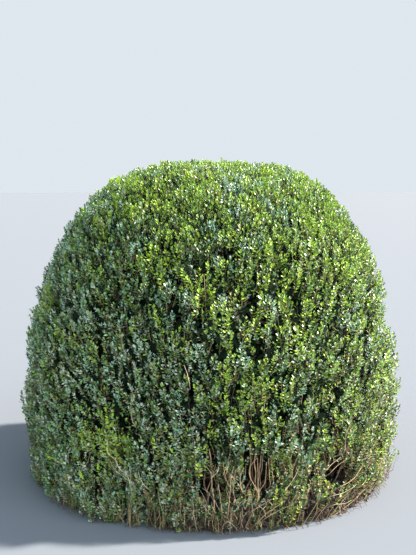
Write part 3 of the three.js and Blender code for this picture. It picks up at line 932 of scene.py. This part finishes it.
SHOWN = [
    (-4.8, 845, -4.3, 930), (-2.6, 800, -1.6, 895), (-1, 850, -0.8, 925),
    (10.3, 800, 10.6, 905), (12.4, 845, 12.1, 935), (14, 810, 14.2, 900), (15.9, 780, 15.8, 870),
    (38, 800, 39.2, 915), (39.8, 750, 42, 870), (41.8, 830, 44.6, 935), (44, 700, 46.5, 790),
    (-20, 690, -20.5, 780), (-12, 700, -12.5, 790), (5, 750, 5.5, 830),
    (20, 740, 21, 830), (25, 735, 26, 835), (32, 740, 33.5, 840), (50, 690, 51, 800),
]
for i, (b0, r0, b1, r1) in enumerate(SHOWN):
    r0, r1 = r0 / 1000, r1 / 1000
    stems.append((
        "stem_front_%d" % (i + 1),
        [
            around(b0, r0, 0),
            around(b0 + (chance(i, 21) - 0.5) * 3, mix(r0, r1, 0.1), RIM_Z * 0.34),
            around(b1 + (chance(i, 22) - 0.5) * 3, mix(r0, r1, 0.72), RIM_Z * 0.66),
            around(b1, r1, RIM_Z),
        ],
        0.0036 * mix(0.82, 1.2, chance(i, 23)),
        0.0026 * mix(0.85, 1.15, chance(i, 24)),
    ))
for i in range(11):
    b0 = 62 + (i * 250) / 11 + 6 * (chance(i, 31) - 0.5)
    r0 = mix(0.390, 0.470, chance(i, 32))
    r1 = mix(0.520, 0.590, chance(i, 33))
    stems.append((
        "stem_ring_%d" % (i + 1),
        [
            around(b0, r0, 0),
            around(b0, mix(r0, r1, 0.12), RIM_Z * 0.34),
            around(b0 + 5 * (chance(i, 34) - 0.5), mix(r0, r1, 0.7), RIM_Z * 0.66),
            around(b0 + 5 * (chance(i, 35) - 0.5), r1, RIM_Z),
        ],
        0.014 * mix(0.85, 1.2, chance(i, 36)),
        0.009 * mix(0.85, 1.15, chance(i, 37)),
    ))


def bark_tube(path, base, tip_r, sides, steps, swell, seed, crook=0.0):
    """A limb with furrows that wander along it and a few knots."""
    t = np.linspace(0, 1, steps + 1)
    pts = bezier(path, t)
    if crook:
        bends = np.random.default_rng(seed + 500)
        for axis in (0, 1):
            for waves, size in ((bends.uniform(0.8, 1.6), 1.0), (bends.uniform(2.4, 3.6), 0.5)):
                pts[:, axis] += crook * size * np.sin(t * math.pi) * np.sin(TAU * waves * t + bends.uniform(0, TAU))
    r = mix(base, tip_r, t**0.8) * (1 + swell * np.exp(-t * 14))
    g = np.random.default_rng(seed)
    a = np.arange(sides) * TAU / sides
    tt, aa = np.meshgrid(t, a, indexing="ij")
    ridges = np.zeros_like(tt)
    for k in (3, 5, 7):
        ridges += (0.11 / k**0.5) * np.sin(k * aa + g.uniform(0, TAU) + g.uniform(-5, 5) * tt)
    for _ in range(4):
        kt, ka = g.uniform(0.1, 0.95), g.uniform(0, TAU)
        d2 = ((tt - kt) / 0.05) ** 2 + ((np.mod(aa - ka + math.pi, TAU) - math.pi) / 0.6) ** 2
        ridges += 0.22 * np.exp(-d2)
    ridges += g.normal(0, 0.025, tt.shape)
    v, f = rings(pts[None], r[None], sides, (1 + ridges)[None])
    v[:, 2] = np.maximum(v[:, 2], 0)
    return v, f


# trunk, with its root flare
sides, steps = 72, 26
t = np.linspace(0, 1, steps + 1)
a = np.arange(sides) * TAU / sides
tt, aa = np.meshgrid(t, a, indexing="ij")
flare = 0.078 * np.exp(-tt * 4.6)
root_lobes = 1 + 0.34 * np.cos(5 * aa + 0.6) + 0.2 * np.cos(3 * aa - 1.1)
flute = 0.005 * np.cos(7 * aa + 0.8) * (1 - 0.6 * tt)
r = mix(0.118, 0.128, smooth(0.35, 1, tt)) + flare * root_lobes + flute
g = np.random.default_rng(5)
for k in (13, 19, 27):
    r = r + 0.0035 * np.sin(k * aa + g.uniform(0, TAU) + g.uniform(-3, 3) * tt)
r = r + g.normal(0, 0.0012, r.shape)
v = np.stack([np.cos(aa) * r + TRUNK_LEAN[0] * tt, np.sin(aa) * r + TRUNK_LEAN[1] * tt, TRUNK_H * tt], -1)
top_ring = v[-1]
crown_cap = [v.reshape(-1, 3)]
for s in (0.75, 0.45, 0.02):
    ring = top_ring * s + (TRUNK_LEAN + [0, 0, TRUNK_H]) * (1 - s)
    ring[:, 2] = TRUNK_H
    crown_cap.append(ring)
foot_cap = v[0] * 0.02
foot_cap[:, 2] = 0
vv = np.concatenate([foot_cap] + crown_cap)
m = len(vv) // sides
j = np.arange(m - 1)[:, None] * sides
k = np.arange(sides)[None, :]
k2 = (k + 1) % sides
ff = np.stack([j + k, j + k2, j + sides + k2, j + sides + k], -1).reshape(-1, 4)
o = make_piece("bark_trunk", vv, ff, np.zeros(len(ff)), [bark_old])
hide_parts("trunk")
counts["bark_trunk"] = len(ff) * 2

parts = [bark_tube(p, b, e, 20, 22, 0.04, 100 + i) for i, (_, p, b, e) in enumerate(boughs)]
v, f = join(parts)
o = make_piece("bark_boughs", v, f, np.zeros(len(f)), [bark_old])
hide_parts(*[n for n, *_ in boughs])
counts["bark_boughs"] = len(f) * 2

parts = [bark_tube(p, b, e, 12, 22, 0.25, 200 + i, 0.008 if b < 0.006 else 0.003) for i, (_, p, b, e) in enumerate(stems)]
v, f = join(parts)
shade = [0 if n.startswith("stem_front") and b0 < 36 else 1 for (n, *_), b0 in zip(
    stems, [q[0] for q in SHOWN] + [99] * 11)]
o = make_piece("bark_stems", v, f, np.repeat(shade, len(f) // len(stems)), [bark_tan, bark_shade])
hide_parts(*[n for n, *_ in stems])
counts["bark_stems"] = len(f) * 2

# ---- branches: from every limb's end out to every plume -----------------------------------
sources = []  # point, direction, what it may feed: 0 high, 1 low round the back, 2 front foot
for name, path, base, end in boughs:
    sources.append((path[3], unit(path[3] - path[2]), 0))
for name, path, base, end in stems:
    sources.append((path[3], unit(path[3] - path[2]), 1))
    sources.append((bezier(path, np.array([0.45]))[0], unit(path[2] - path[1]), 2))
src_p = np.array([s[0] for s in sources])
src_k = np.array([s[2] for s in sources])
feeds = [[] for _ in sources]
for j in range(N_PLUME):
    q = plume_root[j]
    kind = 2 if q[2] < RIM_Z - 0.02 else (1 if q[2] < 0.80 else 0)
    cost = np.linalg.norm((src_p - q) * [1, 1, 0.6], axis=1)
    cost[src_k != kind] += 9
    feeds[int(np.argmin(cost))].append(j)

branches = []  # start, start direction, end, end direction, plumes fed


def halve(idx):
    """Splits a set of plumes across its longest way."""
    pts = plume_root[idx]
    c = pts - pts.mean(0)
    _, _, vt = np.linalg.svd(c, full_matrices=False)
    s = c @ vt[0]
    cut = np.median(s) + rng.normal(0, 0.12) * s.std()
    a, b = idx[s <= cut], idx[s > cut]
    return (a, b) if len(a) and len(b) else (idx[: len(idx) // 2], idx[len(idx) // 2 :])


def grow(p, d, idx):
    if len(idx) == 1:
        q = plume_root[idx[0]]
        branches.append((p, d, q, sn[idx[0]], 1))
        return
    c = plume_root[idx].mean(0)
    far = np.linalg.norm(c - p)
    f = 0.42 if far > 0.25 else 0.30
    q = p + (c - p) * f + rng.normal(0, 0.05 * far, 3)
    q = q + UP * 0.10 * far * (len(idx) > 8)
    branches.append((p, d, q, unit(c - q), len(idx)))
    for part in halve(idx):
        away = unit(plume_root[part].mean(0) - q)
        grow(q, unit(d * 0.3 + away * 0.7), part)


for (p, d, _), idx in zip(sources, feeds):
    if idx:
        grow(p, d, np.array(idx))

fed = np.array([b[4] for b in branches])
b_p = np.array([b[0] for b in branches])
b_d = np.array([b[1] for b in branches])
b_q = np.array([b[2] for b in branches])
b_e = np.array([b[3] for b in branches])
span = np.linalg.norm(b_q - b_p, axis=1, keepdims=True)
parts = []
for lo, hi, sides, steps in ((1, 2, 3, 3), (2, 7, 4, 3), (7, 30, 6, 4), (30, 9999, 9, 6)):
    on = (fed >= lo) & (fed < hi)
    if not on.any():
        continue
    t = np.linspace(0, 1, steps + 1)[None, :, None]
    s = 1 - t
    p0, p3 = b_p[on][:, None], b_q[on][:, None]
    p1 = p0 + (b_d[on] * span[on] * 0.33)[:, None]
    p2 = p3 - (b_e[on] * span[on] * 0.30)[:, None]
    pts = p0 * s**3 + 3 * p1 * s * s * t + 3 * p2 * s * t * t + p3 * t**3
    pts[:, 1:-1] += rng.normal(0, 0.004, pts[:, 1:-1].shape)
    r0 = 0.0021 * fed[on] ** 0.46
    r1 = 0.0021 * np.maximum(fed[on] * 0.62, 0.7) ** 0.46
    parts.append(rings(pts, mix(r0[:, None], r1[:, None], t[..., 0]), sides))
v, f = join(parts)
v[:, 2] = np.maximum(v[:, 2], 0.002)
o = make_piece("branches", v, f, np.zeros(len(f)), [twig_brown])
counts["branches"] = len(f) * 2

# ---- twigs: from the foot of each plume to its sprays, and on to the end of each shoot ---------
start = spray_root[part]
bend = tip - heading * (0.050 + proud)[:, None]
back = bend + (start - bend) * rng.uniform(0.3, 0.9, N_SHOOT)[:, None]
shows = rng.random(N_SHOOT) < 0.5
pts = np.stack([np.where(shows[:, None], bend - heading * 0.02, back), tip - heading * 0.001], 1)
rad = np.stack([np.full(N_SHOOT, 0.00105), np.full(N_SHOOT, 0.0005)], 1)
v1, f1 = rings(pts, rad, 3)
mid = mix(plume_root[spray_own], spray_root, 0.55) + rng.normal(0, 0.006, (N_SPRAY, 3))
pts = np.stack([plume_root[spray_own], mid, spray_root], 1)
rad = np.broadcast_to([0.0022, 0.0018, 0.0014], (N_SPRAY, 3))
v2, f2 = rings(pts, rad, 3)
v, f = join([(v1, f1), (v2, f2)])
v[:, 2] = np.maximum(v[:, 2], 0.002)
t = np.concatenate([np.repeat(rng.choice([0, 1, 2], N_SHOOT, p=[0.18, 0.40, 0.42]), 3), np.full(len(f2), 2)])
o = make_piece("twigs", v, f, t, [twig_tan, twig_green, twig_brown])
counts["twigs"] = len(f) * 2

# ---- bare twigs of the foot and of the thin places --------------------------------------------
bare = []  # (line of points, radius at the foot, radius at the tip, material)


def bare_twig(points, r0, r1, tint, steps=6):
    line = through(points, steps)
    line[:, 2] = np.maximum(line[:, 2], 0.0)
    bare.append((line, r0, r1, tint))
    return line


# Those the photo shows singly: pixels from the foot up, depth, width, colour.
DRAWN = [
    ([(257, 503), (257.5, 492), (250, 477), (250, 467), (257, 458)], 0.020, 3.2, 0),
    ([(258, 500), (258, 490), (258, 477), (257.5, 458)], 0.022, 3.2, 0),
    ([(259, 500), (259.5, 491), (265, 482), (266.5, 462)], 0.024, 2.6, 0),
    ([(270, 486), (269.5, 476), (268.5, 458)], 0.030, 2.4, 0),
    ([(273, 484), (272.5, 474), (271, 460)], 0.034, 2.0, 0),
    ([(214, 512), (214, 500), (212, 487), (211, 474), (206, 466)], 0.022, 3.4, 0),
    ([(211.5, 480), (213.5, 472), (216, 464)], 0.022, 2.0, 0),
    ([(228, 515), (229, 503), (230.5, 487), (230, 474)], 0.012, 3.2, 0),
    ([(230.5, 488), (226, 480), (223, 472)], 0.012, 2.0, 0),
    ([(230.5, 485), (234, 478), (236, 470)], 0.012, 2.0, 0),
    ([(226, 478), (224, 470), (223, 462)], 0.010, 1.8, 0),
    ([(222, 512), (221, 503), (219.5, 492), (218, 484)], 0.012, 3.4, 0),
    ([(207, 505), (204, 497), (200, 490)], 0.022, 1.8, 1),
    ([(213, 500), (208, 492), (202, 488)], 0.024, 1.6, 1),
    ([(251, 512), (262, 505), (272.5, 499)], 0.006, 2.6, 0),
    ([(256, 524), (266, 514), (279, 505), (285, 501)], 0.004, 2.8, 0),
    ([(266, 518), (278, 511), (291, 505)], 0.004, 3.0, 0),
    ([(301, 526), (311, 512.5), (320, 498)], 0.004, 3.2, 0),
    ([(307, 525), (315, 515), (318, 503)], 0.004, 2.6, 0),
    ([(313, 523), (321, 512), (328, 504)], 0.004, 2.2, 0),
    ([(321, 522), (326, 511), (334, 501)], 0.004, 2.0, 2),
    ([(328, 518), (337.5, 507), (346, 497)], 0.004, 2.8, 0),
    ([(324, 472), (332, 464), (341, 457)], 0.020, 2.6, 0),
    ([(329, 474), (337, 466), (347, 459)], 0.026, 2.2, 0),
    ([(340, 487), (350, 481.5), (356, 476), (361, 467)], 0.012, 3.0, 0),
    ([(332, 496), (343, 493), (352, 488), (357, 484)], 0.002, 2.6, 1),
    ([(333, 505), (345, 503.5), (352, 500)], 0.002, 2.4, 1),
    ([(344, 452), (345.5, 444), (346, 434), (349, 427), (351, 420)], 0.010, 2.8, 1),
    ([(349, 437), (353, 432), (357, 428)], 0.012, 1.6, 0),
    ([(218, 533), (218.5, 525), (217, 516)], 0.004, 2.4, 0),
    ([(222, 532), (224, 524), (233, 521)], 0.002, 2.2, 0),
    ([(241, 527), (241, 519), (240.5, 512)], 0.004, 2.2, 0),
    ([(246, 527), (249, 519), (253, 513)], 0.004, 2.2, 0),
    ([(237, 530), (232, 524), (226, 521)], 0.002, 1.8, 1),
    ([(196, 527), (194, 516), (190, 508)], 0.004, 2.2, 1),
    ([(184, 527), (184.5, 514), (183, 506)], 0.004, 2.0, 0),
    ([(205, 524), (206, 512), (203, 500)], 0.006, 2.2, 0),
    ([(122, 471), (118, 466), (116, 460.5), (112, 457), (107.5, 452), (107, 440)], 0.000, 2.6, 3),
    ([(121, 475), (114, 468), (110, 461)], 0.002, 2.2, 1),
    ([(132, 494), (130.5, 481), (130, 466)], 0.004, 2.0, 0),
    ([(145, 486), (140.5, 479), (138, 471)], 0.002, 2.0, 3),
    ([(58, 484), (65, 480)], 0.000, 1.8, 1),
    ([(180, 516), (181, 506), (179, 498)], 0.004, 2.2, 0),
    ([(205, 291), (204.5, 283), (204, 274)], -0.006, 1.8, 0),
    ([(189, 381), (187, 373), (184, 365)], 0.000, 1.9, 3),
    ([(132, 420), (131, 411), (131, 404)], 0.000, 1.8, 3),
    ([(124, 352), (121, 338), (119, 326)], 0.002, 1.8, 0),
    ([(180, 415), (184, 414), (186, 411)], 0.000, 1.6, 3),
    ([(264, 410), (264.5, 403), (266, 396)], -0.002, 1.8, 0),
    ([(243, 340), (247, 334), (252, 330)], 0.002, 1.6, 0),
]
for pixels, inside, r_mm, tint in DRAWN:
    line = [seen_at(x, y, inside) for x, y in pixels]
    foot_first = line[0].copy()
    foot_first[:2] *= 0.93 if pixels[0][1] > 440 else 0.96
    foot_first[2] = max(0.0, foot_first[2] - 0.045)
    r_m = r_mm / 1700
    bare_twig([foot_first] + line, r_m, r_m * 0.6, tint, steps=3 * len(line))

# The rest of the thicket round the foot, thicker at the thin front.
for i in range(235):
    front = i < 75
    b = rng.uniform(-16, 60) if front else rng.uniform(60, 344)
    if not front and b > 300 and rng.random() < 0.4:
        continue
    r0 = rng.uniform(0.82, 0.945)
    slant = (10.0 * smooth(12, 40, b) if front else 0.0) + rng.normal(0, 3.2)
    top = rng.uniform(0.07, 0.30)
    r1 = min(r0 + rng.uniform(0.02, 0.10), float(outline(top)) - rng.uniform(0.006, 0.03))
    tint = int(rng.choice([0, 1, 2], p=[0.40, 0.15, 0.45]))
    r_m = rng.uniform(0.0010, 0.0020)
    p0, p3 = around(b, r0, 0), around(b + slant, r1, top)
    if front and (in_window(mix(p0, p3, 0.7)) or in_window(p3)):
        continue
    sway = rng.normal(0, 0.010, 3)
    line = bare_twig([p0, mix(p0, p3, 0.4) + sway * [1, 1, 0.4], mix(p0, p3, 0.75) - sway * 0.4, p3], r_m, r_m * 0.55, tint)
    for _ in range(int(rng.integers(1, 3))):
        k = int(rng.integers(2, 5))
        off = unit(rng.normal(0, 1, 3) * [1, 1, 0.3] + UP * 1.1) * rng.uniform(0.03, 0.09)
        end = line[k] + off
        rr = math.hypot(end[0], end[1])
        lim = float(outline(end[2])) - 0.004
        if rr > lim:
            end[:2] *= lim / rr
        bare_twig([line[k], mix(line[k], end, 0.5) + rng.normal(0, 0.004, 3), end], r_m * 0.6, r_m * 0.4, tint, steps=3)

# Bare ends that the shears left showing all over the surface.
for i in rng.choice(N_SHOOT, 70, replace=False):
    if hp[i, 2] > 1.25 and rng.random() < 0.7:
        continue
    d = unit(UP + hn[i] * 0.1 + rng.normal(0, 0.28, 3))
    p = hp[i] - hn[i] * rng.uniform(0.002, 0.014)
    size = rng.uniform(0.018, 0.036)
    bare_twig([p - d * size, p - d * size * 0.5 + rng.normal(0, 0.003, 3), p], 0.0012, 0.0008, int(rng.choice([0, 1, 3], p=[0.6, 0.2, 0.2])), steps=3)

# Fine twigs that show among the leaves of the front foot.
for i in range(150):
    b = rng.choice([rng.uniform(-42, 60), rng.normal(6, 9), rng.normal(36, 12)], p=[0.36, 0.42, 0.22])
    z = 0.012 + 0.30 * rng.random() ** 1.5
    size = rng.uniform(0.022, 0.105 if b < 22 else 0.060)
    p = around(b, float(outline(z)) - rng.uniform(-0.001, 0.034), z)
    side = around(b + 90, 1.0, 0)
    slant = rng.normal(0.05 + 0.60 * smooth(14, 40, b), 0.50)
    d = unit(UP + side * slant)
    q = p + d * size
    q[:2] *= min(1.0, (float(outline(q[2])) + 0.001) / math.hypot(q[0], q[1]))
    if in_window(mix(p, q, 0.6)):
        continue
    bow = side * rng.normal(0, 0.007)
    r_m = rng.uniform(0.0008, 0.0014)
    if b > 26 and rng.random() < 0.5:
        continue
    share = [0.25, 0.10, 0.60, 0.05] if z < 0.07 else [0.40, 0.15, 0.20, 0.25]
    bare_twig([p, mix(p, q, 0.5) + bow, q], r_m, r_m * 0.6, int(rng.choice([0, 1, 2, 3], p=share)), steps=4)

groups = {}
for line, r0, r1, tint in bare:
    groups.setdefault(len(line), []).append((line, r0, r1, tint))
parts, tints = [], []
for m, rows in groups.items():
    pts = np.array([r[0] for r in rows])
    t = np.linspace(0, 1, m)[None]
    rad = mix(np.array([[r[1]] for r in rows]), np.array([[r[2]] for r in rows]), t)
    sides = 5 if m > 5 else 4
    lumps = 1 + rng.normal(0, 0.10, (len(rows), m, sides))
    parts.append(rings(pts, rad, sides, lumps))
    tints.append(np.repeat([r[3] for r in rows], (m - 1) * sides))
v, f = join(parts)
v[:, 2] = np.maximum(v[:, 2], 0.0)
twig_pale = plain_material("twig_pale", (0.50, 0.39, 0.26), 0.75)
o = make_piece("bare_twigs", v, f, np.concatenate(tints), [twig_tan, twig_grey, twig_brown, twig_pale])
counts["bare_twigs"] = len(f) * 2

# ---- floor, light and camera -----------------------------------------------------------------
me = bpy.data.meshes.new("floor")
s = 400.0
me.from_pydata([(-s, -s, -0.001), (s, -s, -0.001), (s, s, -0.001), (-s, s, -0.001)], [], [(0, 1, 2, 3)])
floor = bpy.data.objects.new("floor", me)
bpy.context.scene.collection.objects.link(floor)
floor.data.materials.append(plain_material("floor_pale", (0.114, 0.131, 0.161), 0.95))

world = bpy.data.worlds.new("studio")
world.use_nodes = True
bg = world.node_tree.nodes["Background"]
bg.inputs["Color"].default_value = (0.86, 0.93, 1.0, 1)
bg.inputs["Strength"].default_value = 0.86
bpy.context.scene.world = world


def sun(name, strength, colour, spread, at):
    """A far light from the direction "at", its disc "spread" degrees wide."""
    light = bpy.data.lights.new(name, "SUN")
    light.energy = strength
    light.color = colour
    light.angle = math.radians(spread)
    o = bpy.data.objects.new(name, light)
    bpy.context.scene.collection.objects.link(o)
    o.location = Vector(at) * 10
    o.rotation_euler = (-Vector(at)).to_track_quat("-Z", "Y").to_euler()


sun("key", 17.4, (1.0, 0.905, 0.77), 4, (0.76, 0.10, 0.62))
sun("front", 5.5, (0.91, 0.95, 1.0), 80, (0.60, -0.80, 0.25))
sun("side", 1.2, (0.50, 1.0, 0.88), 80, (-0.60, -0.80, 0.35))

cam = bpy.data.cameras.new("photo")
cam.sensor_fit = "AUTO"
cam.sensor_width = 36.0
cam.lens = FOCAL_PX / IMAGE[1] * 36.0
eye = bpy.data.objects.new("photo", cam)
eye.location = EYE
eye.rotation_euler = (math.pi / 2 - PITCH, 0, 0)
bpy.context.scene.collection.objects.link(eye)
bpy.context.scene.camera = eye

bpy.context.scene.view_settings.view_transform = "Standard"

print("plumes", N_PLUME, "shoots", N_SHOOT, "leaves", len(L["at"]), "area", round(float(AREA), 2))
print("branches", len(branches), "triangles", sum(counts.values()), counts)
